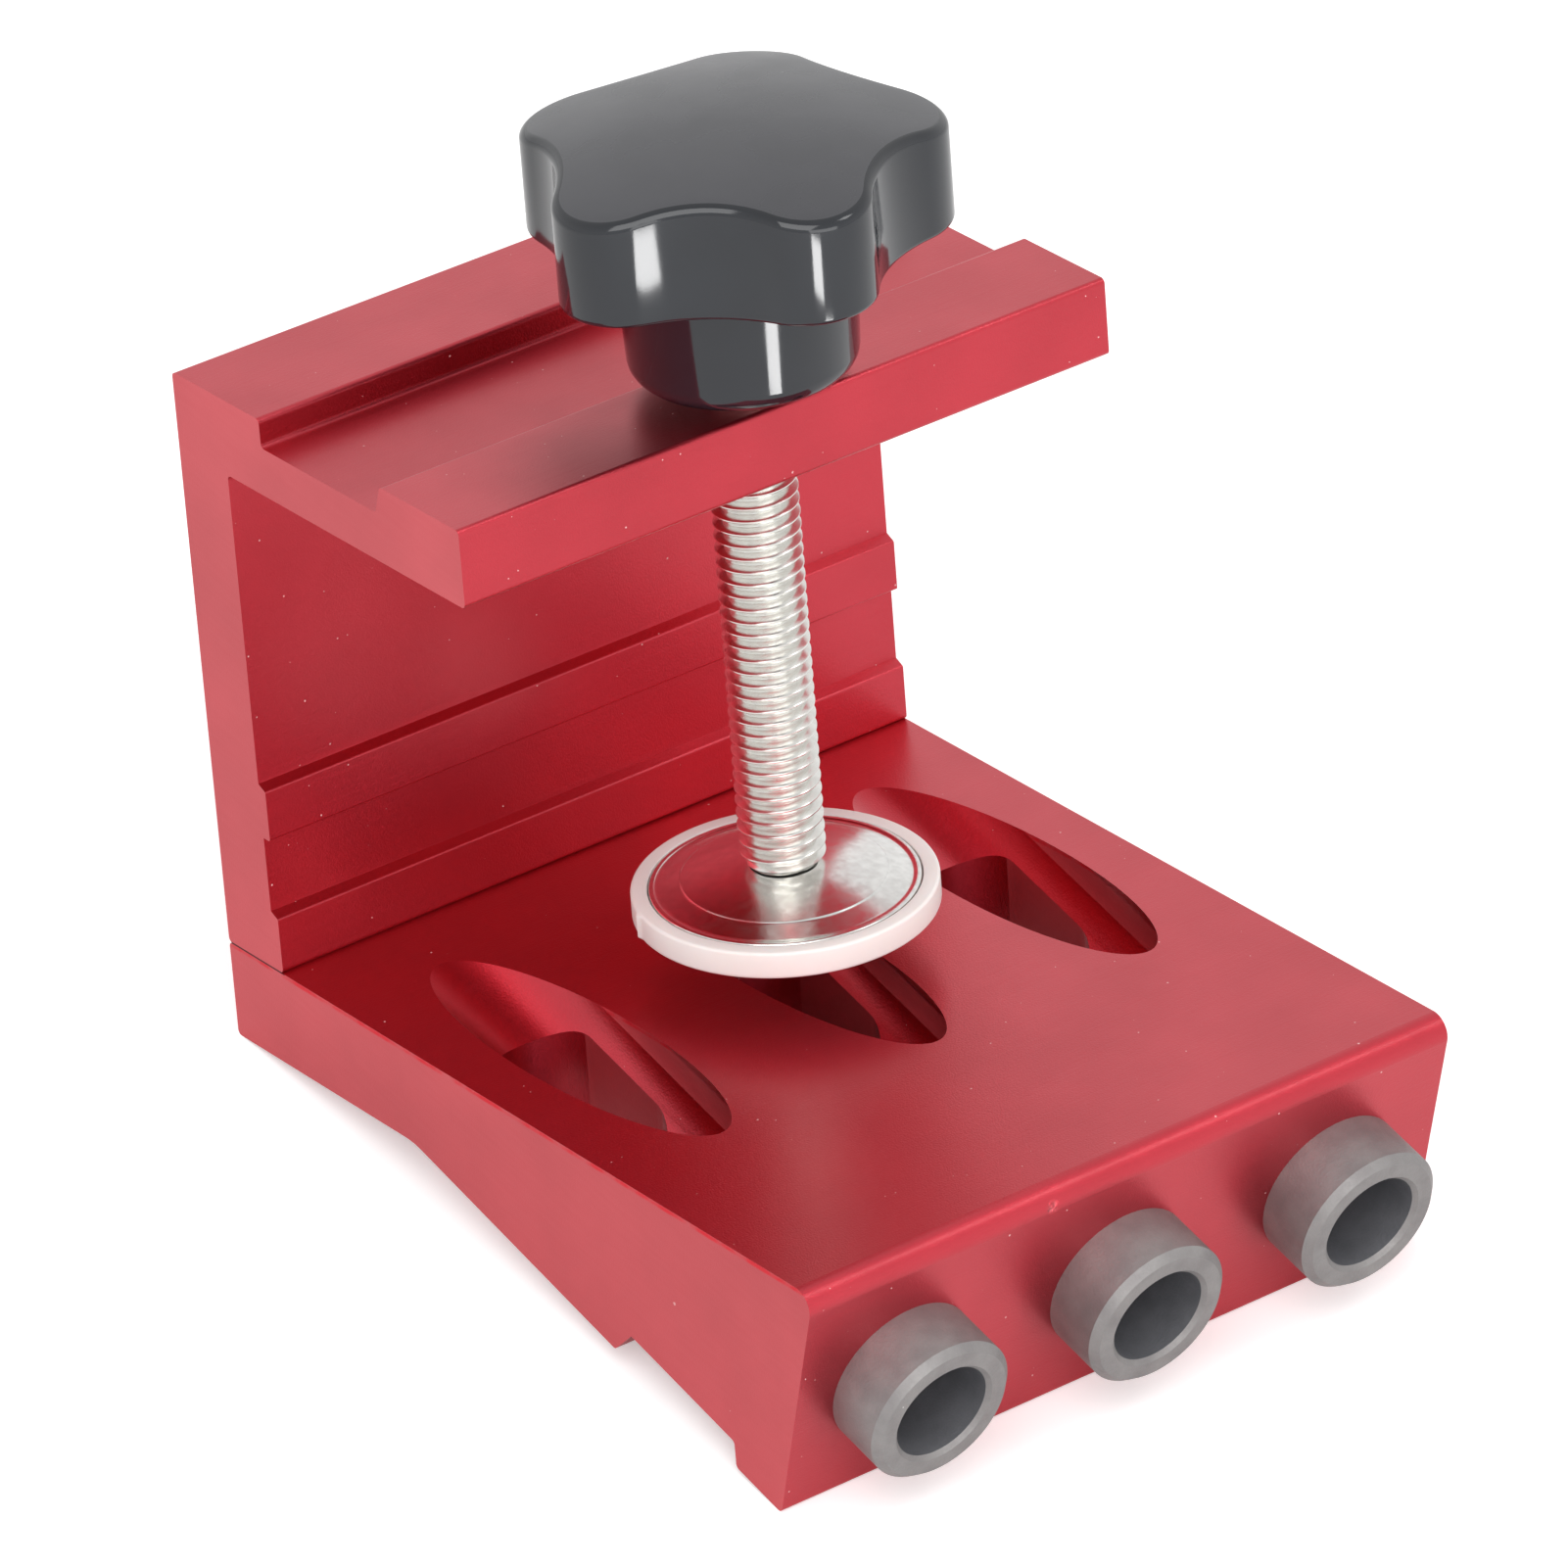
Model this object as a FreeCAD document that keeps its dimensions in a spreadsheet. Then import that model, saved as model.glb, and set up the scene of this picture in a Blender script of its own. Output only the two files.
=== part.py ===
import FreeCAD, Part
import math
import os
import re
import Sketcher

os.makedirs("parts", exist_ok=True)

doc = FreeCAD.newDocument("PocketHoleJig")

# Driving sizes in millimetres and degrees.
# The jig's level frame has its origin on the rear top edge of the base block,
# halfway across the width, with X across, Y towards the rear and Z up.
SIZES = {
    "width": 70.0,
    "edge_round": 0.5,
    # Base block, an extruded wedge.
    "base_depth": 87.6,
    "rear_floor": 9.5,
    "drill_angle": 16.5,
    "foot_step": 2.538,
    "foot_length": 6.6,
    "slope_start": 27.3,
    "relief_start": 56.7,
    "relief_run": 2.7,
    "relief_rise": 3.2,
    "nose_round": 1.8,
    "belly_round": 8.0,
    # Drill bores, their bushes and the chip slots below them.
    "bush_margin": 11.4,
    "bush_drop": 14.1,
    "bush_bore": 9.5,
    "bush_shank": 12.0,
    "bush_shank_length": 18.0,
    "bush_head": 14.6,
    "bush_head_length": 6.2,
    "bush_chamfer": 0.7,
    "bore_chamfer": 0.4,
    "press_gap": 0.01,
    "slot_width": 9.0,
    "slot_length": 18.4,
    # Clamp frame, an extruded plate with an arm.
    "frame_height": 57.0,
    "plate_thick": 7.5,
    "rail_proud": 1.0,
    "rail_chamfer": 0.5,
    "foot_rail_top": 6.0,
    "rail_bottom": 13.4,
    "rail_top": 18.85,
    "arm_reach": 43.5,
    "arm_thick": 7.5,
    "channel_back": 13.4,
    "arm_lip": 12.7,
    "channel_depth": 2.75,
    "channel_slant": 0.9,
    # Socket screws that hold the frame on the base.
    "bolt_margin": 10.0,
    "bolt_back": 4.8,
    "bolt_shank": 4.0,
    "bolt_engagement": 11.0,
    "bolt_head": 7.0,
    "bolt_head_height": 4.0,
    "bolt_socket": 3.0,
    "bolt_socket_depth": 2.2,
    "bolt_way": 0.25,
    "bolt_sink": 0.5,
    "bolt_tip_gap": 1.5,
    # Clamp screw, with its moulded-in collar above and riveted neck below.
    "screw_inset": 5.9,
    "screw_thread": 7.8,
    "screw_play": 0.05,
    "screw_chamfer": 0.6,
    "neck": 5.0,
    "neck_play": 0.08,
    "rivet": 7.2,
    "rivet_thick": 1.1,
    "rivet_gap": 0.2,
    "stud_in_knob": 16.0,
    "collar": 12.0,
    "collar_height": 5.0,
    "collar_drop": 2.0,
    # Star knob.
    "hub_gap": 1.5,
    "hub": 21.3,
    "hub_foot": 20.3,
    "hub_height": 11.8,
    "hub_round": 2.0,
    "knob": 38.8,
    "knob_head": 9.5,
    "knob_dome": 3.1,
    "knob_turn": 46.5,
    "lobes": 5,
    "lobe_round": 6.0,
    "scallop_bite": 4.1,
    "knob_edge_round": 0.8,
    "knob_under_round": 0.6,
    # Pad under the clamp screw.
    "pad_gap": 5.2,
    "cap": 27.6,
    "cap_floor": 1.4,
    "cap_round": 0.4,
    "disc": 24.4,
    "disc_play": 0.1,
    "disc_sheet": 1.2,
    "disc_rim": 0.7,
    "dome_height": 2.0,
    "shoulder_gap": 0.1,
}

sheet = doc.addObject("Spreadsheet::Sheet", "Sizes")
for row, (alias, number) in enumerate(SIZES.items(), start=1):
    sheet.set("A%d" % row, alias.replace("_", " "))
    sheet.set("B%d" % row, str(number))
    sheet.setAlias("B%d" % row, alias)
doc.recompute()


def size(alias):
    return float(sheet.get(alias))


def cellName(word):
    return "Sizes." + word if word in SIZES else word


def formula(text):
    """Points each alias in a formula at its cell in the sheet."""
    return re.sub(r"[a-z_]+", lambda found: cellName(found.group()), text)


def newBody(name):
    body = doc.addObject("PartDesign::Body", name)
    body.Label = name
    return body


def newSketch(body, name, plane, across="0", along="0", out="0", turn="0"):
    """Attaches a sketch to one of the body's own planes, shifted within it and out of it."""
    sketch = body.newObject("Sketcher::SketchObject", name)
    support = [feature for feature in body.Origin.OriginFeatures if feature.Role == plane][0]
    sketch.AttachmentSupport = [(support, "")]
    sketch.MapMode = "FlatFace"
    sketch.setExpression("AttachmentOffset.Base.x", "(" + formula(across) + ") * 1mm")
    sketch.setExpression("AttachmentOffset.Base.y", "(" + formula(along) + ") * 1mm")
    sketch.setExpression("AttachmentOffset.Base.z", "(" + formula(out) + ") * 1mm")
    sketch.setExpression("AttachmentOffset.Rotation.Angle", "(" + formula(turn) + ") * 1deg")
    return sketch


def bind(sketch, kind, places, text, guess=1.0):
    """Adds a dimension whose length follows a formula."""
    index = sketch.addConstraint(Sketcher.Constraint(kind, *places, guess))
    sketch.setExpression("Constraints[%d]" % index, "(" + formula(text) + ") * 1mm")


def drawOutline(sketch, corners, arcs=()):
    """Draws a closed outline through the corners; the named sides are arcs about the upright axis."""
    count = len(corners)
    # The first guess is a ring of points, which the dimensions then pull into place.
    guess = []
    for index in range(count):
        angle = 2 * math.pi * index / count
        guess.append(FreeCAD.Vector(math.cos(angle), math.sin(angle), 0))
    for index in range(count):
        start = guess[index]
        end = guess[(index + 1) % count]
        if index in arcs:
            middle = (start + end).multiply(0.55)
            sketch.addGeometry(Part.Arc(start, middle, end))
        else:
            sketch.addGeometry(Part.LineSegment(start, end))
    for index in range(count):
        sketch.addConstraint(Sketcher.Constraint("Coincident", index, 2, (index + 1) % count, 1))
    for index in arcs:
        sketch.addConstraint(Sketcher.Constraint("PointOnObject", index, 3, -2))
    for index, (across, up) in enumerate(corners):
        bind(sketch, "DistanceX", (-1, 1, index, 1), across, guess[index].x)
        bind(sketch, "DistanceY", (-1, 1, index, 1), up, guess[index].y)
    doc.recompute()


def drawCircle(sketch, radius, across="0", up="0"):
    ring = sketch.addGeometry(Part.Circle(FreeCAD.Vector(1, 1, 0), FreeCAD.Vector(0, 0, 1), 1.0))
    bind(sketch, "Radius", (ring,), radius)
    bind(sketch, "DistanceX", (-1, 1, ring, 3), across)
    bind(sketch, "DistanceY", (-1, 1, ring, 3), up)
    doc.recompute()


def pad(body, sketch, length):
    feature = body.newObject("PartDesign::Pad", sketch.Name + "Pad")
    feature.Profile = sketch
    feature.SideType = "Symmetric"
    feature.setExpression("Length", "(" + formula(length) + ") * 1mm")
    doc.recompute()
    return feature


def revolve(body, sketch):
    feature = body.newObject("PartDesign::Revolution", sketch.Name + "Turned")
    feature.Profile = sketch
    feature.ReferenceAxis = (sketch, ["V_Axis"])
    feature.Angle = 360
    doc.recompute()
    return feature


def checkCut(body, before, name):
    """Stops the build if a cutting feature took nothing away."""
    if body.Shape.Volume > before - 1e-6:
        raise RuntimeError(name + " cuts nothing")


def groove(body, sketch, axis):
    before = body.Shape.Volume
    feature = body.newObject("PartDesign::Groove", sketch.Name + "Groove")
    feature.Profile = sketch
    feature.ReferenceAxis = (sketch, [axis])
    feature.Angle = 360
    doc.recompute()
    checkCut(body, before, sketch.Name)
    return feature


def pocket(body, sketch, length, reverse):
    before = body.Shape.Volume
    feature = body.newObject("PartDesign::Pocket", sketch.Name + "Pocket")
    feature.Profile = sketch
    feature.Reversed = reverse
    feature.setExpression("Length", "(" + formula(length) + ") * 1mm")
    doc.recompute()
    checkCut(body, before, sketch.Name)
    return feature


def repeatAcross(body, feature, sketch, axis, spacing, count=3):
    """Repeats a feature along X, centred on the width."""
    before = body.Shape.Volume
    row = body.newObject("PartDesign::LinearPattern", feature.Name + "Row")
    row.Originals = [feature]
    row.Direction = (sketch, [axis])
    row.setExpression("Length", "(" + formula(spacing) + ") * %d mm" % (count - 1))
    row.Occurrences = count
    body.Tip = row
    doc.recompute()
    checkCut(body, before, feature.Name + " row")
    return row


def cornerEdges(feature, sketch, corners):
    """Names the long straight edges of an extrusion that run through given outline corners."""
    names = []
    for corner in corners:
        spot = sketch.Placement.multVec(sketch.Geometry[corner].StartPoint)
        for number, edge in enumerate(feature.Shape.Edges, start=1):
            ends = [vertex.Point for vertex in edge.Vertexes]
            if len(ends) == 2 and all(math.hypot(end.y - spot.y, end.z - spot.z) < 1e-4 for end in ends):
                names.append("Edge%d" % number)
    return names


def ringEdges(feature, radius, height):
    """Names the full circles of a turned piece at a radius and a height."""
    names = []
    for number, edge in enumerate(feature.Shape.Edges, start=1):
        box = edge.BoundBox
        flat = abs(box.ZMin - height) < 1e-4 and abs(box.ZMax - height) < 1e-4
        if flat and abs(box.XMax - radius) < 1e-3 and abs(box.XMin + radius) < 1e-3:
            names.append("Edge%d" % number)
    return names


def fillet(body, name, feature, edges, radius):
    if not edges:
        raise RuntimeError(name + " finds no edge")
    rounding = body.newObject("PartDesign::Fillet", name)
    rounding.Base = (feature, edges)
    rounding.setExpression("Radius", "(" + formula(radius) + ") * 1mm")
    body.Tip = rounding
    doc.recompute()
    return rounding


# Lines of the base block's wedge, seen from the side. The front face ends where the foot's sole
# stands clear of the relief behind it.
FACE_LENGTH = (
    "(cos(drill_angle) * (rear_floor + (base_depth - slope_start) * tan(drill_angle)"
    " - relief_rise + foot_step))"
)
FACE_FOOT_BACK = FACE_LENGTH + " * sin(drill_angle) - base_depth"
FACE_FOOT_UP = "- " + FACE_LENGTH + " * cos(drill_angle)"
HEEL_BACK = FACE_FOOT_BACK + " + foot_length * cos(drill_angle)"
HEEL_UP = FACE_FOOT_UP + " + foot_length * sin(drill_angle)"
RELIEF_END = "(- relief_start - relief_run)"
# The bores leave the top face around this line across the block.
EXIT_BACK = "bush_drop / sin(drill_angle) - base_depth"
# The outer bushes and screws keep their distance from the sawn ends.
BUSH_SPACING = "(width / 2 - bush_margin)"
BOLT_SPACING = "(width / 2 - bolt_margin)"
# The channel and the clamp screw keep their distance from the arm's front.
CHANNEL_FRONT = "(arm_reach - arm_lip)"
SCREW_BACK = "(arm_reach - screw_inset)"


def underside(back):
    """Height of the sloped underside at a place behind or before the slope's start."""
    return "- rear_floor + (" + back + " + slope_start) * tan(drill_angle)"


def makeBase():
    body = newBody("base_block")
    outline = newSketch(body, "BaseOutline", "YZ_Plane")
    corners = [
        ("0", "0"),
        ("0", "- rear_floor"),
        ("- slope_start", "- rear_floor"),
        ("- relief_start", underside("(- relief_start)")),
        (RELIEF_END, underside(RELIEF_END) + " + relief_rise"),
        (HEEL_BACK, underside(HEEL_BACK) + " + relief_rise"),
        (HEEL_BACK, HEEL_UP),
        (FACE_FOOT_BACK, FACE_FOOT_UP),
        ("- base_depth", "0"),
    ]
    drawOutline(outline, corners)
    block = pad(body, outline, "width")
    edges = cornerEdges(block, outline, (0, 1, 3, 5, 6, 7))
    block = fillet(body, "BaseEdges", block, edges, "edge_round")
    block = fillet(body, "BaseNose", block, cornerEdges(block, outline, (8,)), "nose_round")
    block = fillet(body, "BaseBelly", block, cornerEdges(block, outline, (2,)), "belly_round")

    bore = newSketch(
        body,
        "Bore",
        "YZ_Plane",
        across="bush_drop * sin(drill_angle) - base_depth",
        along="- bush_drop * cos(drill_angle)",
        out="- " + BUSH_SPACING,
        turn="drill_angle",
    )
    bore_corners = [
        ("- bush_head_length", "0"),
        ("base_depth", "0"),
        ("base_depth", "bush_shank / 2 + press_gap"),
        ("- bush_head_length", "bush_shank / 2 + press_gap"),
    ]
    drawOutline(bore, bore_corners)
    cut = groove(body, bore, "H_Axis")
    repeatAcross(body, cut, bore, "N_Axis", BUSH_SPACING)

    slot = newSketch(body, "ChipSlot", "XY_Plane", across="- " + BUSH_SPACING, along=EXIT_BACK)
    drawSlot(slot, "slot_width", "slot_length")
    cut = pocket(body, slot, "base_depth", False)
    repeatAcross(body, cut, slot, "H_Axis", BUSH_SPACING)

    hole = newSketch(body, "BoltHole", "YZ_Plane", across="- bolt_back", out="- " + BOLT_SPACING)
    seat = "- rear_floor + bolt_head_height + bolt_sink"
    hole_corners = [
        ("0", "0"),
        ("0", "- rear_floor"),
        ("bolt_head / 2 + bolt_way", "- rear_floor"),
        ("bolt_head / 2 + bolt_way", seat),
        ("bolt_shank / 2 + bolt_way", seat),
        ("bolt_shank / 2 + bolt_way", "0"),
    ]
    drawOutline(hole, hole_corners)
    cut = groove(body, hole, "V_Axis")
    repeatAcross(body, cut, hole, "N_Axis", BOLT_SPACING)
    return body


def drawSlot(sketch, width, length):
    """Draws a slot with round ends, lengthwise up the sketch and centred on its origin."""
    straight = [
        (0.5, -1, 0.5, 1),
        (-0.5, 1, -0.5, -1),
    ]
    for start_x, start_y, end_x, end_y in straight:
        start = FreeCAD.Vector(start_x, start_y, 0)
        end = FreeCAD.Vector(end_x, end_y, 0)
        sketch.addGeometry(Part.LineSegment(start, end))
    for middle, first in ((1, 0), (-1, math.pi)):
        circle = Part.Circle(FreeCAD.Vector(0, middle, 0), FreeCAD.Vector(0, 0, 1), 0.5)
        sketch.addGeometry(Part.ArcOfCircle(circle, first, first + math.pi))
    for line, arc in ((0, 2), (1, 3)):
        other = 5 - arc
        sketch.addConstraint(Sketcher.Constraint("Tangent", line, 2, arc, 1))
        sketch.addConstraint(Sketcher.Constraint("Tangent", line, 1, other, 2))
    sketch.addConstraint(Sketcher.Constraint("Equal", 2, 3))
    sketch.addConstraint(Sketcher.Constraint("PointOnObject", 2, 3, -2))
    sketch.addConstraint(Sketcher.Constraint("PointOnObject", 3, 3, -2))
    bind(sketch, "Radius", (2,), width + " / 2")
    bind(sketch, "DistanceY", (-1, 1, 2, 3), "(" + length + " - " + width + ") / 2")
    bind(sketch, "DistanceY", (3, 3, -1, 1), "(" + length + " - " + width + ") / 2")
    doc.recompute()


def makeFrame():
    body = newBody("clamp_frame")
    outline = newSketch(body, "FrameOutline", "YZ_Plane")
    rail = "(- plate_thick - rail_proud)"
    floor = "frame_height - channel_depth"
    corners = [
        ("0", "0"),
        ("0", "frame_height"),
        ("- channel_back", "frame_height"),
        ("- channel_back", floor),
        ("- " + CHANNEL_FRONT, floor),
        ("- " + CHANNEL_FRONT + " - channel_slant", "frame_height"),
        ("- arm_reach", "frame_height"),
        ("- arm_reach", "frame_height - arm_thick"),
        ("- plate_thick", "frame_height - arm_thick"),
        ("- plate_thick", "rail_top"),
        (rail, "rail_top - rail_chamfer"),
        (rail, "rail_bottom"),
        ("- plate_thick", "rail_bottom"),
        ("- plate_thick", "foot_rail_top"),
        (rail, "foot_rail_top - rail_chamfer"),
        (rail, "0"),
    ]
    drawOutline(outline, corners)
    frame = pad(body, outline, "width")
    edges = cornerEdges(frame, outline, (0, 1, 2, 3, 4, 5, 6, 7, 8, 15))
    frame = fillet(body, "FrameEdges", frame, edges, "edge_round")
    edges = cornerEdges(frame, outline, (10, 11, 14))
    fillet(body, "RailEdges", frame, edges, "edge_round / 2")

    hole = newSketch(body, "ScrewHole", "XY_Plane", out="frame_height")
    drawCircle(hole, "screw_thread / 2 + screw_play", up="- " + SCREW_BACK)
    pocket(body, hole, "arm_thick + channel_depth", False)

    tapped = newSketch(body, "BoltHole", "XY_Plane", across="- " + BOLT_SPACING, along="- bolt_back")
    drawCircle(tapped, "bolt_shank / 2 + press_gap")
    cut = pocket(body, tapped, "bolt_engagement + bolt_tip_gap", True)
    repeatAcross(body, cut, tapped, "H_Axis", BOLT_SPACING)
    return body


def makeBush(name):
    """A headed drill bush, seated at its origin with the shank up Z."""
    body = newBody(name)
    outline = newSketch(body, "Section", "XZ_Plane")
    corners = [
        ("bush_bore / 2 + bore_chamfer", "- bush_head_length"),
        ("bush_head / 2 - bush_chamfer", "- bush_head_length"),
        ("bush_head / 2", "bush_chamfer - bush_head_length"),
        ("bush_head / 2", "0"),
        ("bush_shank / 2", "0"),
        ("bush_shank / 2", "bush_shank_length - bush_chamfer"),
        ("bush_shank / 2 - bush_chamfer", "bush_shank_length"),
        ("bush_bore / 2", "bush_shank_length"),
        ("bush_bore / 2", "bore_chamfer - bush_head_length"),
    ]
    drawOutline(outline, corners)
    revolve(body, outline)
    return body


def makeBolt(name):
    """A socket head screw, seated at its origin with the shank up Z."""
    body = newBody(name)
    outline = newSketch(body, "Section", "XZ_Plane")
    length = "rear_floor - bolt_head_height - bolt_sink + bolt_engagement"
    corners = [
        ("0", "- bolt_head_height"),
        ("bolt_head / 2 - edge_round", "- bolt_head_height"),
        ("bolt_head / 2", "edge_round - bolt_head_height"),
        ("bolt_head / 2", "0"),
        ("bolt_shank / 2", "0"),
        ("bolt_shank / 2", length + " - edge_round"),
        ("bolt_shank / 2 - edge_round", length),
        ("0", length),
    ]
    drawOutline(outline, corners)
    revolve(body, outline)
    socket = newSketch(body, "Socket", "XY_Plane", out="- bolt_head_height")
    hexagon = []
    for corner in range(6):
        reach = "bolt_socket / sqrt(3) * "
        hexagon.append((reach + "cos(%d)" % (60 * corner), reach + "sin(%d)" % (60 * corner)))
    drawOutline(socket, hexagon)
    pocket(body, socket, "bolt_socket_depth", True)
    return body


# Heights on the clamp screw above the shoulder that bears on the disc.
HUB_FOOT_ON_SCREW = "(frame_height + hub_gap - pad_gap - cap_floor - disc_sheet - dome_height - shoulder_gap)"
STUD_END = "(" + HUB_FOOT_ON_SCREW + " + stud_in_knob)"


def makeScrew():
    """The clamp screw, with its origin in the shoulder's face."""
    body = newBody("clamp_screw")
    outline = newSketch(body, "Section", "XZ_Plane")
    rivet_top = "- shoulder_gap - disc_sheet - rivet_gap"
    collar_top = STUD_END + " - collar_drop"
    corners = [
        ("0", rivet_top + " - rivet_thick"),
        ("rivet / 2", rivet_top + " - rivet_thick"),
        ("rivet / 2", rivet_top),
        ("neck / 2", rivet_top),
        ("neck / 2", "0"),
        ("screw_thread / 2 - screw_chamfer", "0"),
        ("screw_thread / 2", "screw_chamfer"),
        ("screw_thread / 2", collar_top + " - collar_height"),
        ("collar / 2", collar_top + " - collar_height"),
        ("collar / 2", collar_top),
        ("screw_thread / 2", collar_top),
        ("screw_thread / 2", STUD_END),
        ("0", STUD_END),
    ]
    drawOutline(outline, corners)
    revolve(body, outline)
    return body


# A scallop that meets the lobes smoothly and bites as deep as asked, from its triangle of centres.
REACH = "(knob / 2 - lobe_round)"
VALLEY = "(knob / 2 - scallop_bite)"
SCALLOP = (
    "(lobe_round ^ 2 - " + REACH + " ^ 2 - " + VALLEY + " ^ 2"
    " + 2 * " + REACH + " * " + VALLEY + " * cos(180 / lobes))"
    " / (2 * (" + VALLEY + " - " + REACH + " * cos(180 / lobes) - lobe_round))"
)


def drawStar(sketch):
    """Draws the knob's outline: round lobes joined by round scallops that meet them smoothly."""
    lobes = int(size("lobes"))
    half_step = math.pi / lobes
    lobe_reach = size("knob") / 2 - size("lobe_round")
    valley = size("knob") / 2 - size("scallop_bite")
    straight = valley - lobe_reach * math.cos(half_step) - size("lobe_round")
    scallop = size("lobe_round") ** 2 - lobe_reach**2 - valley**2
    scallop = (scallop + 2 * lobe_reach * valley * math.cos(half_step)) / (2 * straight)
    scallop_reach = valley + scallop
    for index in range(lobes):
        middle = 2 * half_step * index
        centre = FreeCAD.Vector(math.cos(middle), math.sin(middle), 0) * lobe_reach
        outer = middle + half_step
        hollow = FreeCAD.Vector(math.cos(outer), math.sin(outer), 0) * scallop_reach
        towards = hollow - centre
        swing = math.atan2(towards.y, towards.x) - middle
        circle = Part.Circle(centre, FreeCAD.Vector(0, 0, 1), size("lobe_round"))
        sketch.addGeometry(Part.ArcOfCircle(circle, middle - swing, middle + swing))
        circle = Part.Circle(hollow, FreeCAD.Vector(0, 0, 1), scallop)
        sweep = half_step - swing
        facing = outer + math.pi
        sketch.addGeometry(Part.ArcOfCircle(circle, facing + sweep, facing - sweep))
    for index in range(lobes):
        lobe = 2 * index
        turned = "%g * 360 / lobes" % index
        at = sketch.Geometry[lobe].Center
        bind(sketch, "Radius", (lobe,), "lobe_round", size("lobe_round"))
        bind(sketch, "DistanceX", (-1, 1, lobe, 3), REACH + " * cos(" + turned + ")", at.x)
        bind(sketch, "DistanceY", (-1, 1, lobe, 3), REACH + " * sin(" + turned + ")", at.y)
    for index in range(lobes):
        lobe = 2 * index
        following = (lobe + 2) % (2 * lobes)
        sketch.addConstraint(Sketcher.Constraint("Tangent", lobe, 2, lobe + 1, 2))
        sketch.addConstraint(Sketcher.Constraint("Tangent", following, 1, lobe + 1, 1))
        hollow = sketch.Geometry[lobe + 1].Radius
        bind(sketch, "Radius", (lobe + 1,), SCALLOP, hollow)
    doc.recompute()


def makeKnob():
    """The star knob, with its origin in the hub's foot."""
    body = newBody("star_knob")
    star = newSketch(body, "StarOutline", "XY_Plane", out="hub_height")
    drawStar(star)
    head = body.newObject("PartDesign::Pad", "Head")
    head.Profile = star
    head.setExpression("Length", "(" + formula("knob_head + knob_dome") + ") * 1mm")
    doc.recompute()

    dome = newSketch(body, "Dome", "XZ_Plane", along="hub_height + knob_head")
    dome_corners = [
        ("knob / 2", "0"),
        ("0", "knob_dome"),
        ("0", "2 * knob_dome"),
        ("knob / 2 + knob_dome", "2 * knob_dome"),
        ("knob / 2 + knob_dome", "0"),
    ]
    drawOutline(dome, dome_corners, arcs=(0,))
    head = groove(body, dome, "V_Axis")

    under = []
    top = size("hub_height") + size("knob_head") / 2
    for number, edge in enumerate(head.Shape.Edges, start=1):
        if edge.BoundBox.ZMax < top:
            under.append("Edge%d" % number)
    head = fillet(body, "KnobUnder", head, under, "knob_under_round")
    rim = []
    for number, edge in enumerate(head.Shape.Edges, start=1):
        if edge.BoundBox.ZMin > top:
            rim.append("Edge%d" % number)
    fillet(body, "KnobRim", head, rim, "knob_edge_round")

    hub = newSketch(body, "Hub", "XZ_Plane")
    hub_corners = [
        ("0", "0"),
        ("hub_foot / 2", "0"),
        ("hub / 2", "hub_height"),
        ("0", "hub_height"),
    ]
    drawOutline(hub, hub_corners)
    turned = revolve(body, hub)
    fillet(body, "HubFoot", turned, ringEdges(turned, size("hub_foot") / 2, 0), "hub_round")

    stud = newSketch(body, "StudRoom", "XZ_Plane")
    collar_top = "stud_in_knob - collar_drop"
    stud_corners = [
        ("0", "- hub_height"),
        ("screw_thread / 2 + press_gap", "- hub_height"),
        ("screw_thread / 2 + press_gap", collar_top + " - collar_height"),
        ("collar / 2 + press_gap", collar_top + " - collar_height"),
        ("collar / 2 + press_gap", collar_top),
        ("screw_thread / 2 + press_gap", collar_top),
        ("screw_thread / 2 + press_gap", "stud_in_knob"),
        ("0", "stud_in_knob"),
    ]
    drawOutline(stud, stud_corners)
    groove(body, stud, "V_Axis")
    return body


def makeDisc():
    """The domed steel disc, with its origin under its rim's face."""
    body = newBody("pad_disc")
    outline = newSketch(body, "Section", "XZ_Plane")
    rim = "disc / 2 - disc_rim"
    bore = "neck / 2 + neck_play"
    corners = [
        (rim, "disc_sheet"),
        (bore, "disc_sheet + dome_height"),
        (bore, "0"),
        ("disc / 2", "0"),
        ("disc / 2", "disc_sheet"),
    ]
    drawOutline(outline, corners, arcs=(0,))
    revolve(body, outline)

    hollow = newSketch(body, "Hollow", "XZ_Plane")
    hollow_corners = [
        (rim, "0"),
        (bore, "dome_height"),
        ("0", "dome_height"),
        ("0", "- disc_sheet"),
        (rim, "- disc_sheet"),
    ]
    drawOutline(hollow, hollow_corners, arcs=(0,))
    groove(body, hollow, "V_Axis")
    return body


def makeCap():
    """The nylon cap that holds the disc, with its origin in its pressing face."""
    body = newBody("pad_cap")
    outline = newSketch(body, "Section", "XZ_Plane")
    corners = [
        ("0", "0"),
        ("cap / 2", "0"),
        ("cap / 2", "cap_floor + disc_sheet"),
        ("disc / 2 + disc_play", "cap_floor + disc_sheet"),
        ("disc / 2 + disc_play", "cap_floor"),
        ("0", "cap_floor"),
    ]
    drawOutline(outline, corners)
    turned = revolve(body, outline)
    edges = ringEdges(turned, size("cap") / 2, 0)
    edges += ringEdges(turned, size("cap") / 2, size("cap_floor") + size("disc_sheet"))
    fillet(body, "CapEdges", turned, edges, "cap_round")
    return body


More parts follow.
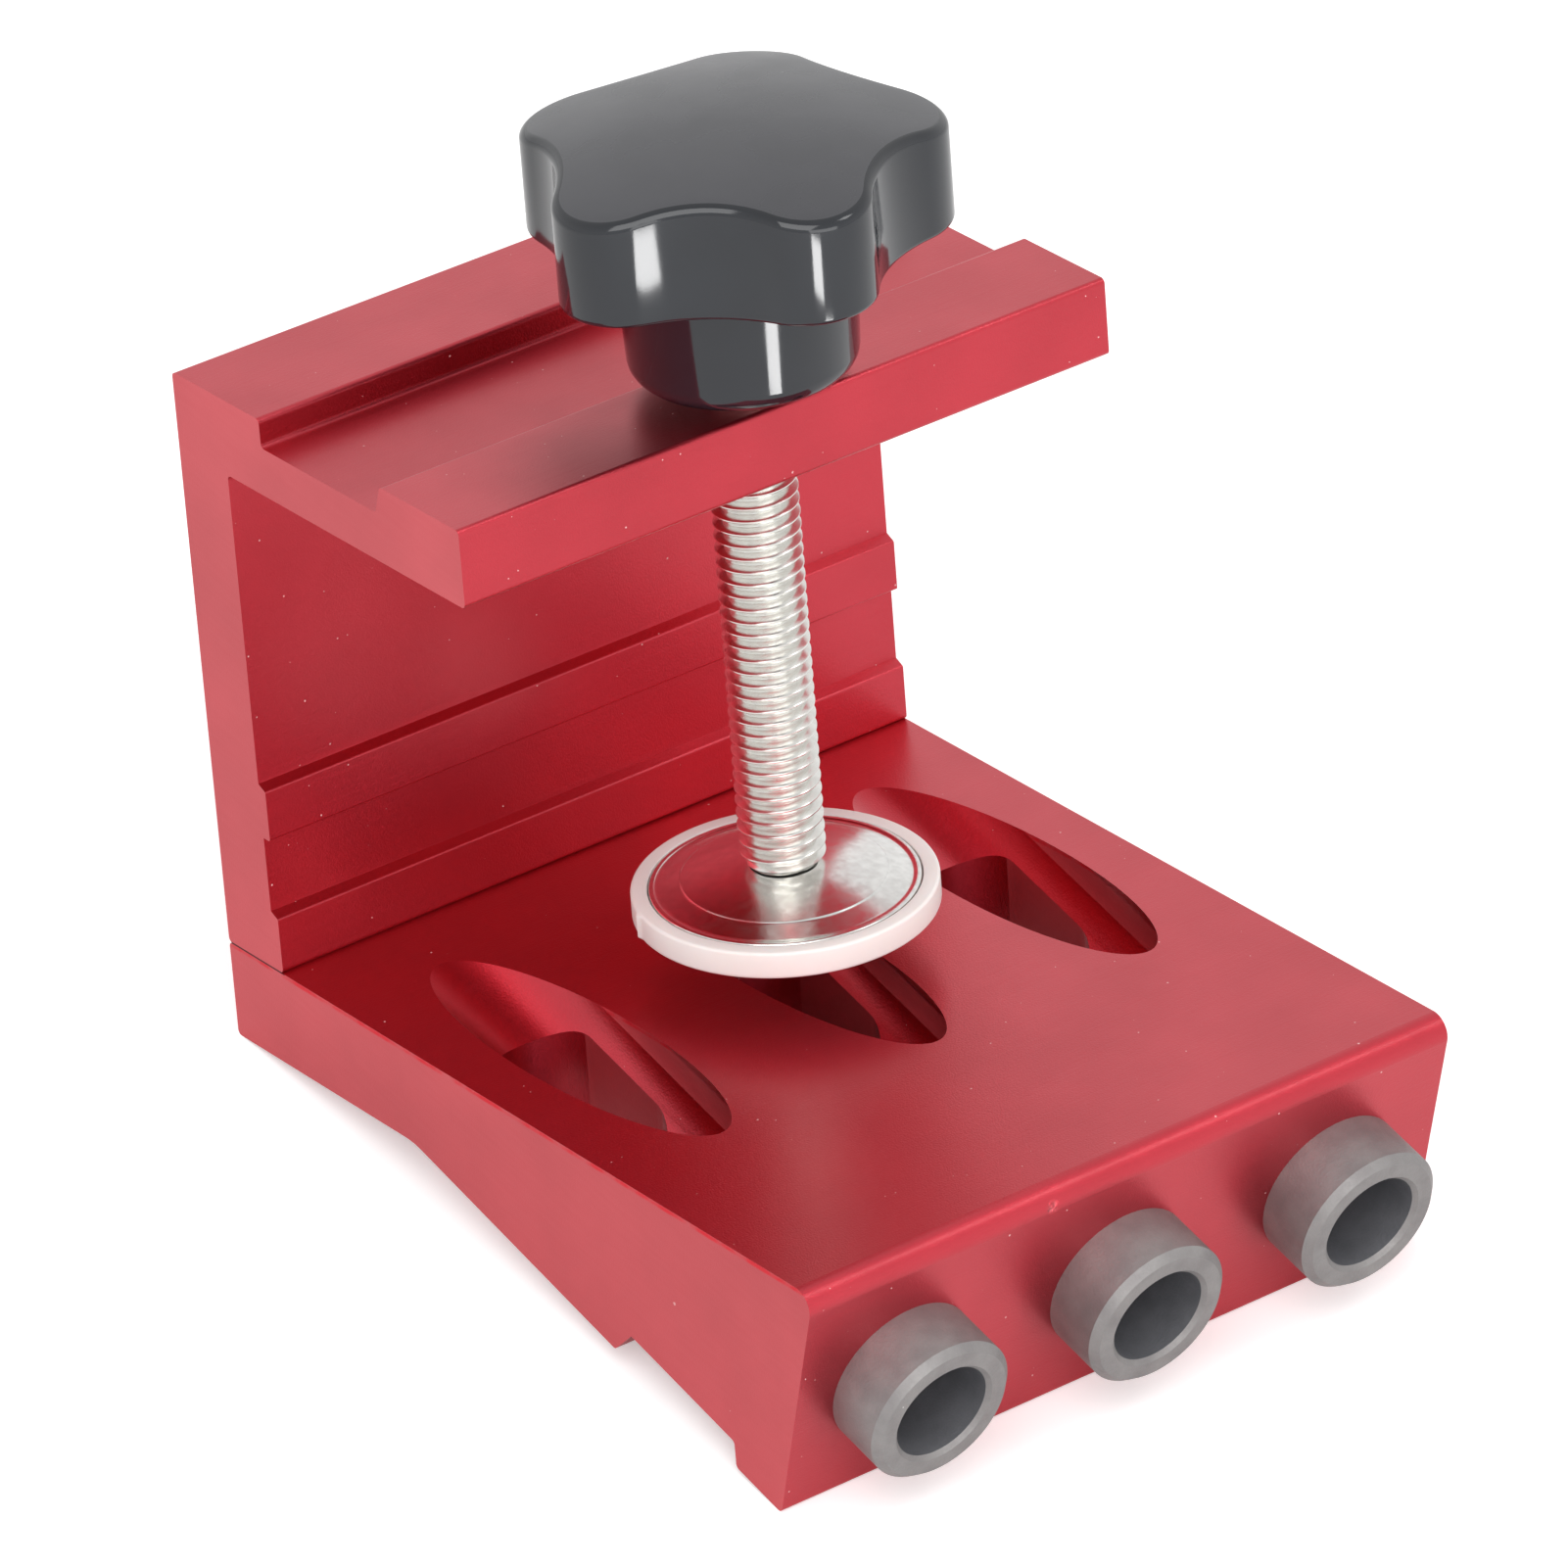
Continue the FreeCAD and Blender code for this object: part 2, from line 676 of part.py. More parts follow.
# The free jig rests on two rounded edges of its base: the rear one and the foot's front one.
# Both have the same radius, so the bench is parallel to the line through their centres.
angle = math.radians(size("drill_angle"))
round_off = size("edge_round")
rear_y = -round_off
rear_z = -size("rear_floor") + round_off
face_drop = (size("base_depth") - size("slope_start")) * math.tan(angle)
face_drop += size("rear_floor") - size("relief_rise") + size("foot_step")
face_length = math.cos(angle) * face_drop
foot_y = -size("base_depth") + face_length * math.sin(angle)
foot_z = -face_length * math.cos(angle)
front_y = foot_y + round_off * (math.cos(angle) - math.sin(angle))
front_z = foot_z + round_off * (math.cos(angle) + math.sin(angle))
lean = math.atan2(rear_z - front_z, rear_y - front_y)
bench = rear_z * math.cos(lean) - rear_y * math.sin(lean) - round_off
resting = FreeCAD.Placement(
    FreeCAD.Vector(0, 0, -bench),
    FreeCAD.Rotation(FreeCAD.Vector(1, 0, 0), -math.degrees(lean)),
)


def seat(piece, across, back, up, tip=0.0, turn=0.0):
    """Puts a piece at its seat in the level frame, tipped about X and turned about its own Z."""
    tipped = FreeCAD.Rotation(FreeCAD.Vector(1, 0, 0), tip)
    turned = FreeCAD.Rotation(FreeCAD.Vector(0, 0, 1), turn)
    level = FreeCAD.Placement(FreeCAD.Vector(across, back, up), tipped.multiply(turned))
    piece.Placement = resting.multiply(level)


SIDES = {"left": -1, "middle": 0, "right": 1}

pieces = []

base = makeBase()
seat(base, 0, 0, 0)
pieces.append(base)

frame = makeFrame()
seat(frame, 0, 0, 0)
pieces.append(frame)

bush_spacing = size("width") / 2 - size("bush_margin")
bolt_spacing = size("width") / 2 - size("bolt_margin")
screw_back = size("arm_reach") - size("screw_inset")
face_y = -size("base_depth") + size("bush_drop") * math.sin(angle)
face_z = -size("bush_drop") * math.cos(angle)
for side, step in SIDES.items():
    bush = makeBush("drill_bush_" + side)
    seat(bush, step * bush_spacing, face_y, face_z, tip=size("drill_angle") - 90)
    pieces.append(bush)

seat_up = -size("rear_floor") + size("bolt_head_height") + size("bolt_sink")
for side, step in SIDES.items():
    bolt = makeBolt("frame_screw_" + side)
    seat(bolt, step * bolt_spacing, -size("bolt_back"), seat_up)
    pieces.append(bolt)

pad_top = size("pad_gap") + size("cap_floor") + size("disc_sheet") + size("dome_height")
screw = makeScrew()
seat(screw, 0, -screw_back, pad_top + size("shoulder_gap"))
pieces.append(screw)

knob = makeKnob()
hub_foot = size("frame_height") + size("hub_gap")
seat(knob, 0, -screw_back, hub_foot, turn=size("knob_turn"))
pieces.append(knob)

disc = makeDisc()
seat(disc, 0, -screw_back, size("pad_gap") + size("cap_floor"))
pieces.append(disc)

cap = makeCap()
seat(cap, 0, -screw_back, size("pad_gap"))
pieces.append(cap)

doc.recompute()

# The origin is on the bench, under the middle of the jig.
low = min(piece.Shape.BoundBox.YMin for piece in pieces)
high = max(piece.Shape.BoundBox.YMax for piece in pieces)
shift = FreeCAD.Placement(FreeCAD.Vector(0, -(low + high) / 2, 0), FreeCAD.Rotation())
for piece in pieces:
    piece.Placement = shift.multiply(piece.Placement)
doc.recompute()

for item in doc.Objects:
    if "Invalid" in item.State or "Error" in item.State:
        raise RuntimeError(item.Name + " failed: " + str(item.State))
for piece in pieces:
    if piece.Shape.isNull() or not piece.Shape.isValid():
        raise RuntimeError(piece.Label + " has no valid shape")
    if len(piece.Shape.Solids) != 1:
        raise RuntimeError(piece.Label + " is not one solid")

for piece in pieces:
    piece.Shape.exportStep("parts/" + piece.Label + ".step")
    print(piece.Label, round(piece.Shape.Volume, 1))
print("lean", round(math.degrees(lean), 3), "shift", round(-(low + high) / 2, 4), "bench", round(bench, 4))
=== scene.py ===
import math

import bmesh
import bpy
from mathutils import Matrix, Vector


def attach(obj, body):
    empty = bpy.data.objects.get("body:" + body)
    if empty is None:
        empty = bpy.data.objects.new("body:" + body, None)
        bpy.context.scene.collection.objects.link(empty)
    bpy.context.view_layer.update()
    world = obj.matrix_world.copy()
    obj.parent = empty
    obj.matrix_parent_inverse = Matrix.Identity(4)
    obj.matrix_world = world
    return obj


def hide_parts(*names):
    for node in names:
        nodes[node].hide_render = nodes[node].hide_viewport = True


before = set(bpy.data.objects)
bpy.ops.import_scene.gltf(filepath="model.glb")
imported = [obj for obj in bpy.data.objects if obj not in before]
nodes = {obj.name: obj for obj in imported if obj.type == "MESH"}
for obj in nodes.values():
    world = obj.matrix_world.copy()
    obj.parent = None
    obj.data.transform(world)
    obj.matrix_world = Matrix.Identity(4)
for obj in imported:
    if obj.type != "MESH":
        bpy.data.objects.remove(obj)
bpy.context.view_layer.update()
scene = bpy.context.scene
scene.view_settings.view_transform = "Standard"
print("frame loaded:", len(nodes), "solids")


# The jig leans back on the bench. Its own level frame has the base's top flat and the plate upright.
jigSettings = {
    "lean": 10.633,  # degrees
    "back": 40.5313,  # mm from the level frame's origin
    "up": 9.2532,
    "screwBack": 37.6,
    "boreSlope": 16.5,  # degrees, against the base's top
}
levelToBench = Matrix.Translation((0, jigSettings["back"], jigSettings["up"])) @ Matrix.Rotation(
    -math.radians(jigSettings["lean"]), 4, "X"
)


# Matrix, in mm, of a point on the clamp screw's axis at a height above the base's top
def onScrew(height):
    return levelToBench @ Matrix.Translation((0, -jigSettings["screwBack"], height))


# fitted to the photograph, in the bench frame
cameraSettings = {
    "place": (-0.58927, -0.73387, 0.72759),
    "look": (0.50239, 0.63067, -0.59149),
    "up": (0.32758, 0.49427, 0.80523),
    "lens": 304.89,  # mm
    "sensor": 36.0,
    "clip": (0.05, 20.0),
}


def makeCamera(settings):
    look = Vector(settings["look"]).normalized()
    right = look.cross(Vector(settings["up"])).normalized()
    up = right.cross(look)
    turn = Matrix((right, up, -look)).transposed().to_4x4()
    data = bpy.data.cameras.new("photoCamera")
    data.lens = settings["lens"]
    data.sensor_width = settings["sensor"]
    data.sensor_fit = "HORIZONTAL"
    data.clip_start, data.clip_end = settings["clip"]
    camera = bpy.data.objects.new("photoCamera", data)
    scene.collection.objects.link(camera)
    camera.matrix_world = Matrix.Translation(settings["place"]) @ turn
    scene.camera = camera


makeCamera(cameraSettings)
print("camera set")


def addNode(tree, kind, **values):
    node = tree.nodes.new(kind)
    for name, value in values.items():
        setattr(node, name, value)
    return node


def feed(tree, socket, source):
    if hasattr(source, "is_output"):
        tree.links.new(source, socket)
    else:
        socket.default_value = source


def math2(tree, operation, first, second=0.5, clamp=False):
    node = addNode(tree, "ShaderNodeMath", operation=operation, use_clamp=clamp)
    feed(tree, node.inputs[0], first)
    feed(tree, node.inputs[1], second)
    return node.outputs[0]


def mixColour(tree, factor, first, second):
    node = addNode(tree, "ShaderNodeMix", data_type="RGBA")
    feed(tree, node.inputs["Factor"], factor)
    feed(tree, node.inputs[6], first)
    feed(tree, node.inputs[7], second)
    return node.outputs[2]


def remap(tree, value, low, high, newLow=0.0, newHigh=1.0):
    node = addNode(tree, "ShaderNodeMapRange")
    for name, number in (("From Min", low), ("From Max", high), ("To Min", newLow), ("To Max", newHigh)):
        node.inputs[name].default_value = number
    feed(tree, node.inputs["Value"], value)
    return node.outputs["Result"]


def addNoise(tree, point, scale, detail=2.0):
    noise = addNode(tree, "ShaderNodeTexNoise")
    for label, source in (("Vector", point), ("Scale", scale), ("Detail", detail)):
        feed(tree, noise.inputs[label], source)
    return noise.outputs["Fac"]


def newGroup(name, inputs, outputs):
    group = bpy.data.node_groups.new(name, "ShaderNodeTree")
    for label, kind, value in inputs:
        socket = group.interface.new_socket(label, in_out="INPUT", socket_type=kind)
        if value is not None:
            socket.default_value = value
    for label, kind in outputs:
        group.interface.new_socket(label, in_out="OUTPUT", socket_type=kind)
    entry = group.nodes.new("NodeGroupInput").outputs
    leave = group.nodes.new("NodeGroupOutput").inputs
    return group, entry, leave


def placeGroup(tree, group, **values):
    node = tree.nodes.new("ShaderNodeGroup")
    node.node_tree = group
    for name, value in values.items():
        feed(tree, node.inputs[name], value)
    return node.outputs


def objectPoint(tree):
    return addNode(tree, "ShaderNodeTexCoord").outputs["Object"]


def rgb(red, green, blue):
    return (red, green, blue, 1.0)


# Fine satin grain left by blasting and etching, with soft patches of duller metal
def buildBlastGrain():
    group, entry, leave = newGroup(
        "blastGrain",
        [
            ("Point", "NodeSocketVector", None),
            ("Scale", "NodeSocketFloat", 9000.0),
            ("Patch Scale", "NodeSocketFloat", 90.0),
        ],
        [("Height", "NodeSocketFloat"), ("Patches", "NodeSocketFloat")],
    )
    patch = addNoise(group, entry["Point"], entry["Patch Scale"], 4.0)
    group.links.new(addNoise(group, entry["Point"], entry["Scale"]), leave["Height"])
    group.links.new(remap(group, patch, 0.32, 0.68), leave["Patches"])
    return group


# Faint lines along the way the extrusion was drawn, or round a turned piece
def buildDrawLines():
    group, entry, leave = newGroup(
        "drawLines",
        [
            ("Point", "NodeSocketVector", None),
            ("Along", "NodeSocketVector", None),
            ("Fineness", "NodeSocketFloat", 3000.0),
        ],
        [("Height", "NodeSocketFloat"), ("Mask", "NodeSocketFloat")],
    )
    squeeze = addNode(group, "ShaderNodeVectorMath", operation="MULTIPLY")
    group.links.new(entry["Point"], squeeze.inputs[0])
    group.links.new(entry["Along"], squeeze.inputs[1])
    lines = addNoise(group, squeeze.outputs[0], entry["Fineness"], 3.0)
    group.links.new(lines, leave["Height"])
    group.links.new(remap(group, lines, 0.56, 0.72), leave["Mask"])
    return group


# Scattered specks of dust and lint: a few cells of a cell pattern, each shrunk to a dot
def buildDustFlecks():
    group, entry, leave = newGroup(
        "dustFlecks",
        [
            ("Point", "NodeSocketVector", None),
            ("Scale", "NodeSocketFloat", 260.0),
            ("Share", "NodeSocketFloat", 0.06),
            ("Size", "NodeSocketFloat", 0.05),
        ],
        [("Mask", "NodeSocketFloat")],
    )
    wobble = addNoise(group, entry["Point"], 2500.0)
    cells = addNode(group, "ShaderNodeTexVoronoi")
    group.links.new(entry["Point"], cells.inputs["Vector"])
    group.links.new(entry["Scale"], cells.inputs["Scale"])
    split = addNode(group, "ShaderNodeSeparateColor")
    group.links.new(cells.outputs["Color"], split.inputs[0])
    chosen = math2(group, "LESS_THAN", split.outputs[0], entry["Share"])
    reach = math2(group, "MULTIPLY", entry["Size"], split.outputs[1])
    reach = math2(group, "MULTIPLY", reach, math2(group, "MULTIPLY", wobble, 2.0))
    near = math2(group, "LESS_THAN", cells.outputs["Distance"], reach)
    group.links.new(math2(group, "MULTIPLY", chosen, near), leave["Mask"])
    return group


# Uneven mask for rubbed corners, and for breaking up the painted highlights at the base's rim and in the
# nick: strong where its noise is high
def buildEdgeWearAndHighlight():
    group, entry, leave = newGroup(
        "edgeWearAndHighlight",
        [
            ("Point", "NodeSocketVector", None),
            ("Scale", "NodeSocketFloat", 400.0),
            ("Amount", "NodeSocketFloat", 0.5),
        ],
        [("Mask", "NodeSocketFloat")],
    )
    worn = remap(group, addNoise(group, entry["Point"], entry["Scale"], 5.0), 0.35, 0.65)
    group.links.new(math2(group, "MULTIPLY", worn, entry["Amount"]), leave["Mask"])
    return group


jointSettings = {
    "seamShade": (0.00012, 0.00005),  # metres either side of the base's top over which the painted shade in the seam is faint and full
    # the painted highlight along the base's rim: its depth below the top, then the widths of its band
    "rimHighlightDepth": 0.00022,
    "rim": (0.0003, 0.0001),
}


# Masks at the base's top edge: painted shade in the seam under the frame, and a painted highlight along
# the rim in front of it and below
def buildJointLine(settings):
    group, entry, leave = newGroup(
        "jointLine",
        [("Point", "NodeSocketVector", None), ("Front", "NodeSocketFloat", 0.0)],
        [("Seam", "NodeSocketFloat"), ("RimHighlight", "NodeSocketFloat")],
    )
    lean = math.radians(jigSettings["lean"])
    back, up = jigSettings["back"] / 1000, jigSettings["up"] / 1000
    spots = []
    for axis in ((0, math.sin(lean), math.cos(lean)), (0, math.cos(lean), -math.sin(lean))):
        reach = addNode(group, "ShaderNodeVectorMath", operation="DOT_PRODUCT")
        group.links.new(entry["Point"], reach.inputs[0])
        reach.inputs[1].default_value = axis
        spots.append(math2(group, "SUBTRACT", reach.outputs["Value"], back * axis[1] + up * axis[2]))
    height, depth = spots
    near = remap(group, math2(group, "ABSOLUTE", height), *settings["seamShade"])
    behind = math2(group, "GREATER_THAN", depth, entry["Front"])
    group.links.new(math2(group, "MULTIPLY", near, behind), leave["Seam"])
    below = math2(group, "ABSOLUTE", math2(group, "ADD", height, settings["rimHighlightDepth"]))
    group.links.new(remap(group, below, *settings["rim"]), leave["RimHighlight"])
    return group


blastGrain = buildBlastGrain()
drawLines = buildDrawLines()
dustFlecks = buildDustFlecks()
edgeWearAndHighlight = buildEdgeWearAndHighlight()
jointLine = buildJointLine(jointSettings)
print("shared effects built")


def newMaterial(name):
    material = bpy.data.materials.new(name)
    material.use_nodes = True
    tree = material.node_tree
    shader = tree.nodes["Principled BSDF"]
    return material, tree, shader


def addBump(tree, shader, height, distance, strength):
    bump = addNode(tree, "ShaderNodeBump")
    bump.inputs["Strength"].default_value = strength
    bump.inputs["Distance"].default_value = distance
    feed(tree, bump.inputs["Height"], height)
    tree.links.new(bump.outputs["Normal"], shader.inputs["Normal"])


# Lengths in these material tables are in metres, and scales are cells a metre.
anodisedSettings = {
    "metal": rgb(0.60, 0.033, 0.054),
    "metalPatch": rgb(0.548, 0.029, 0.048),
    "sawn": rgb(0.62, 0.069, 0.086),
    "sawnPatch": rgb(0.52, 0.05, 0.064),
    # painted highlight along the base's rim
    "rimHighlight": rgb(0.66, 0.02, 0.035),
    # painted shade in the seam under the frame
    "seamShade": rgb(0.07, 0.006, 0.01),
    # painted highlight colour mixed into the nick
    "edge": rgb(0.95, 0.2, 0.23),
    "dust": rgb(0.72, 0.36, 0.36),
    "grain": 5500.0,
    "roughness": (0.36, 0.42),  # clean metal, and its duller patches
    "lineRoughness": 0.04,
    "dustRoughness": 0.4,
    "bump": 0.00003,
    "bumpStrength": 0.9,
    "lineBump": 0.6,
    "anisotropic": 0.7,
    "coat": 0.65,
    "coatRoughness": 0.28,
    "lint": {"Share": 0.07, "Size": 0.04},
    "specks": {"Scale": 950.0, "Share": 0.3, "Size": 0.085},
    "nick": (-0.0088, -0.0453, 0.0236),  # a small ding on the front edge; its colour is a painted highlight
    "nickReach": (0.00075, 0.00025),
    "nickRagged": 1900.0,
    "nickHighlightShare": 0.6,
    "nickBump": 5.0,
}

sawnSettings = {
    "grain": 5000.0,
    "patch": 50.0,
    "roughness": (0.52, 0.57),  # troughs and tops of the saw lines
    "metallic": 0.75,
    "coat": 0.6,
    "coatRoughness": 0.5,
    "bump": 0.000025,
    "bumpStrength": 0.8,
    "lineBump": 0.3,
    "sawLines": {"Along": (1.0, 0.06, 1.0), "Fineness": 2200.0},
    "dustScale": 200.0,
    "seamFront": -0.0087,  # how far forward the frame stands on the base
    # uneven mask that breaks up the painted highlight along the rim
    "rimHighlightBreakup": {"Scale": 350.0, "Amount": 1.3},
}


def makeAnodised(settings):
    material, tree, shader = newMaterial("redAnodised")
    point = objectPoint(tree)
    grain = placeGroup(tree, blastGrain, Point=point, Scale=settings["grain"])
    lines = placeGroup(tree, drawLines, Point=point, Along=(0.02, 1.0, 1.0))
    lint = placeGroup(tree, dustFlecks, Point=point, **settings["lint"])["Mask"]
    specks = placeGroup(tree, dustFlecks, Point=point, **settings["specks"])["Mask"]
    dust = math2(tree, "MAXIMUM", lint, specks)
    colour = mixColour(tree, grain["Patches"], settings["metal"], settings["metalPatch"])
    colour = mixColour(tree, dust, colour, settings["dust"])
    # the nick is a dent in the bump, with a painted highlight mixed into its colour
    away = addNode(tree, "ShaderNodeVectorMath", operation="DISTANCE")
    tree.links.new(point, away.inputs[0])
    away.inputs[1].default_value = settings["nick"]
    ragged = placeGroup(tree, edgeWearAndHighlight, Point=point, Scale=settings["nickRagged"], Amount=1.0)["Mask"]
    nick = math2(tree, "MULTIPLY", remap(tree, away.outputs["Value"], *settings["nickReach"]), ragged)
    nickHighlightShare = math2(tree, "MULTIPLY", nick, settings["nickHighlightShare"])
    colour = mixColour(tree, nickHighlightShare, colour, settings["edge"])
    feed(tree, shader.inputs["Base Color"], colour)
    rough = remap(tree, grain["Patches"], 0.0, 1.0, *settings["roughness"])
    for mask, more in ((lines["Mask"], "lineRoughness"), (dust, "dustRoughness")):
        rough = math2(tree, "ADD", rough, math2(tree, "MULTIPLY", mask, settings[more]))
    feed(tree, shader.inputs["Roughness"], rough)
    feed(tree, shader.inputs["Metallic"], math2(tree, "SUBTRACT", 1.0, dust, True))
    shader.inputs["Coat Weight"].default_value = settings["coat"]
    shader.inputs["Coat Roughness"].default_value = settings["coatRoughness"]
    lineHeight = math2(tree, "MULTIPLY", lines["Height"], settings["lineBump"])
    height = math2(tree, "ADD", grain["Height"], lineHeight)
    height = math2(tree, "SUBTRACT", height, math2(tree, "MULTIPLY", nick, settings["nickBump"]))
    addBump(tree, shader, height, settings["bump"], settings["bumpStrength"])
    across = addNode(tree, "ShaderNodeVectorMath", operation="CROSS_PRODUCT")
    across.inputs[0].default_value = (1, 0, 0)
    tree.links.new(addNode(tree, "ShaderNodeNewGeometry").outputs["Normal"], across.inputs[1])
    tree.links.new(across.outputs[0], shader.inputs["Tangent"])
    shader.inputs["Anisotropic"].default_value = settings["anisotropic"]
    return material


def makeSawnEnd(settings, anodised):
    material, tree, shader = newMaterial("redSawnEnd")
    point = objectPoint(tree)
    grain = placeGroup(
        tree, blastGrain, Point=point, Scale=settings["grain"], **{"Patch Scale": settings["patch"]}
    )
    saw = placeGroup(tree, drawLines, Point=point, **settings["sawLines"])
    dust = placeGroup(tree, dustFlecks, Point=point, Scale=settings["dustScale"])["Mask"]
    joint = placeGroup(tree, jointLine, Point=point, Front=settings["seamFront"])
    # an uneven mask breaks up the painted highlight along the rim
    wear = placeGroup(tree, edgeWearAndHighlight, Point=point, **settings["rimHighlightBreakup"])
    rim = math2(tree, "MULTIPLY", joint["RimHighlight"], wear["Mask"], True)
    colour = mixColour(tree, grain["Patches"], anodised["sawn"], anodised["sawnPatch"])
    # over the sawn colour: the painted highlight along the rim, painted shade in the seam, then real dust
    for mask, over in ((rim, "rimHighlight"), (joint["Seam"], "seamShade"), (dust, "dust")):
        colour = mixColour(tree, mask, colour, anodised[over])
    feed(tree, shader.inputs["Base Color"], colour)
    shader.inputs["Metallic"].default_value = settings["metallic"]
    feed(tree, shader.inputs["Roughness"], remap(tree, saw["Height"], 0.3, 0.7, *settings["roughness"]))
    bare = math2(tree, "SUBTRACT", 1.0, math2(tree, "MAXIMUM", joint["Seam"], rim))
    feed(tree, shader.inputs["Coat Weight"], math2(tree, "MULTIPLY", bare, settings["coat"]))
    shader.inputs["Coat Roughness"].default_value = settings["coatRoughness"]
    lineHeight = math2(tree, "MULTIPLY", saw["Height"], settings["lineBump"])
    height = math2(tree, "ADD", grain["Height"], lineHeight)
    addBump(tree, shader, height, settings["bump"], settings["bumpStrength"])
    return material


# colours: main, then worn or patchy; roughness: where the patches or wear are low, then high;
# bump: distance and strength
bushFinish = {
    "grain": {"Scale": 4200.0, "Patch Scale": 420.0},
    "dust": {"Scale": 420.0},
    "dustColour": rgb(0.6, 0.58, 0.56),
    "roughness": (0.46, 0.58),
    "roughBy": (0.3, 0.7),  # driven by the grain itself between these heights
    "sockets": {"Metallic": 0.6},
    "bump": (0.00003, 0.9),
}
finishes = {
    "bushSteel": {"colours": (rgb(0.285, 0.272, 0.267), rgb(0.235, 0.22, 0.219)), **bushFinish},
    # the bore's darker, bluer colours are painted shade inside the bore
    "shadedBoreSteel": {"colours": (rgb(0.23, 0.232, 0.25), rgb(0.19, 0.192, 0.208)), **bushFinish},
    "platedThread": {
        "colours": (rgb(0.78, 0.77, 0.735), rgb(0.42, 0.41, 0.39)),
        "wear": {"Scale": 900.0, "Amount": 1.0},
        "wearShare": 0.15,
        "grain": {"Scale": 2600.0},
        "roughness": (0.21, 0.27),
        "sockets": {"Metallic": 1.0},
        "bump": (0.000002, 0.3),
    },
    "brightDisc": {
        "colours": (rgb(0.80, 0.79, 0.77), rgb(0.70, 0.69, 0.67)),
        "wear": {"Scale": 1100.0, "Amount": 1.0},
        "grain": {"Scale": 1400.0},
        "roughness": (0.17, 0.24),
        "sockets": {"Metallic": 1.0},
        "bump": (0.000008, 0.3),
    },
    "blackOxide": {
        "colours": (rgb(0.035, 0.035, 0.04), rgb(0.16, 0.16, 0.17)),
        "wear": {"Scale": 700.0, "Amount": 0.5},
        "grain": {"Scale": 2600.0},
        "roughness": (0.5, 0.14),
        "sockets": {"Metallic": 0.8},
    },
    "knobBlack": {
        "colours": (rgb(0.0075, 0.009, 0.0125), rgb(0.0095, 0.0115, 0.0155)),
        "grain": {"Scale": 5200.0, "Patch Scale": 160.0},
        "dust": {"Scale": 330.0, "Share": 0.05},
        "dustColour": rgb(0.25, 0.25, 0.26),
        "roughness": (0.07, 0.11),
        "sockets": {"IOR": 1.58},
        "bump": (0.000006, 0.2),
    },
    "knobSatin": {
        "colours": (rgb(0.049, 0.049, 0.0555), rgb(0.042, 0.0425, 0.048)),
        "grain": {"Scale": 7000.0, "Patch Scale": 130.0},
        "dust": {"Scale": 420.0, "Share": 0.07, "Size": 0.07},
        "dustColour": rgb(0.3, 0.3, 0.31),
        "roughness": (0.24, 0.3),
        "sockets": {"IOR": 1.58},
        "bump": (0.00001, 0.5),
    },
    "whiteNylon": {
        "colours": (rgb(0.84, 0.80, 0.775), rgb(0.80, 0.75, 0.72)),
        "grain": {"Scale": 2500.0, "Patch Scale": 140.0},
        "roughness": (0.38, 0.48),
        "sockets": {
            "Subsurface Weight": 0.15,
            "Subsurface Radius": (0.003, 0.002, 0.0015),
            "Subsurface Scale": 1.0,
        },
        "bump": (0.00001, 0.4),
    },
}


def makeFinish(name, settings):
    material, tree, shader = newMaterial(name)
    point = objectPoint(tree)
    grain = placeGroup(tree, blastGrain, Point=point, **settings["grain"])
    mask = grain["Patches"]
    if "wear" in settings:
        mask = placeGroup(tree, edgeWearAndHighlight, Point=point, **settings["wear"])["Mask"]
    share = math2(tree, "MULTIPLY", mask, settings.get("wearShare", 1.0))
    colour = mixColour(tree, share, *settings["colours"])
    if "dust" in settings:
        dust = placeGroup(tree, dustFlecks, Point=point, **settings["dust"])["Mask"]
        colour = mixColour(tree, dust, colour, settings["dustColour"])
    feed(tree, shader.inputs["Base Color"], colour)
    if "roughBy" in settings:
        rough = remap(tree, grain["Height"], *settings["roughBy"], *settings["roughness"])
    else:
        rough = remap(tree, mask, 0.0, 1.0, *settings["roughness"])
    feed(tree, shader.inputs["Roughness"], rough)
    for label, value in settings["sockets"].items():
        shader.inputs[label].default_value = value
    if "bump" in settings:
        addBump(tree, shader, grain["Height"], *settings["bump"])
    return material


redAnodised = makeAnodised(anodisedSettings)
redSawnEnd = makeSawnEnd(sawnSettings, anodisedSettings)
painted = {name: makeFinish(name, settings) for name, settings in finishes.items()}
print("materials built")


# Makes an object from mm points in a local frame, baked into the bench frame in metres
def meshObject(name, points, faces, matrix, materials):
    toMetres = Matrix.Scale(0.001, 4) @ matrix
    mesh = bpy.data.meshes.new(name)
    mesh.from_pydata([toMetres @ Vector(point) for point in points], [], faces)
    mesh.validate()
    mesh.update()
    for material in materials:
        mesh.materials.append(material)
    mesh.polygons.foreach_set("use_smooth", [True] * len(mesh.polygons))
    piece = bpy.data.objects.new(name, mesh)
    scene.collection.objects.link(piece)
    return piece


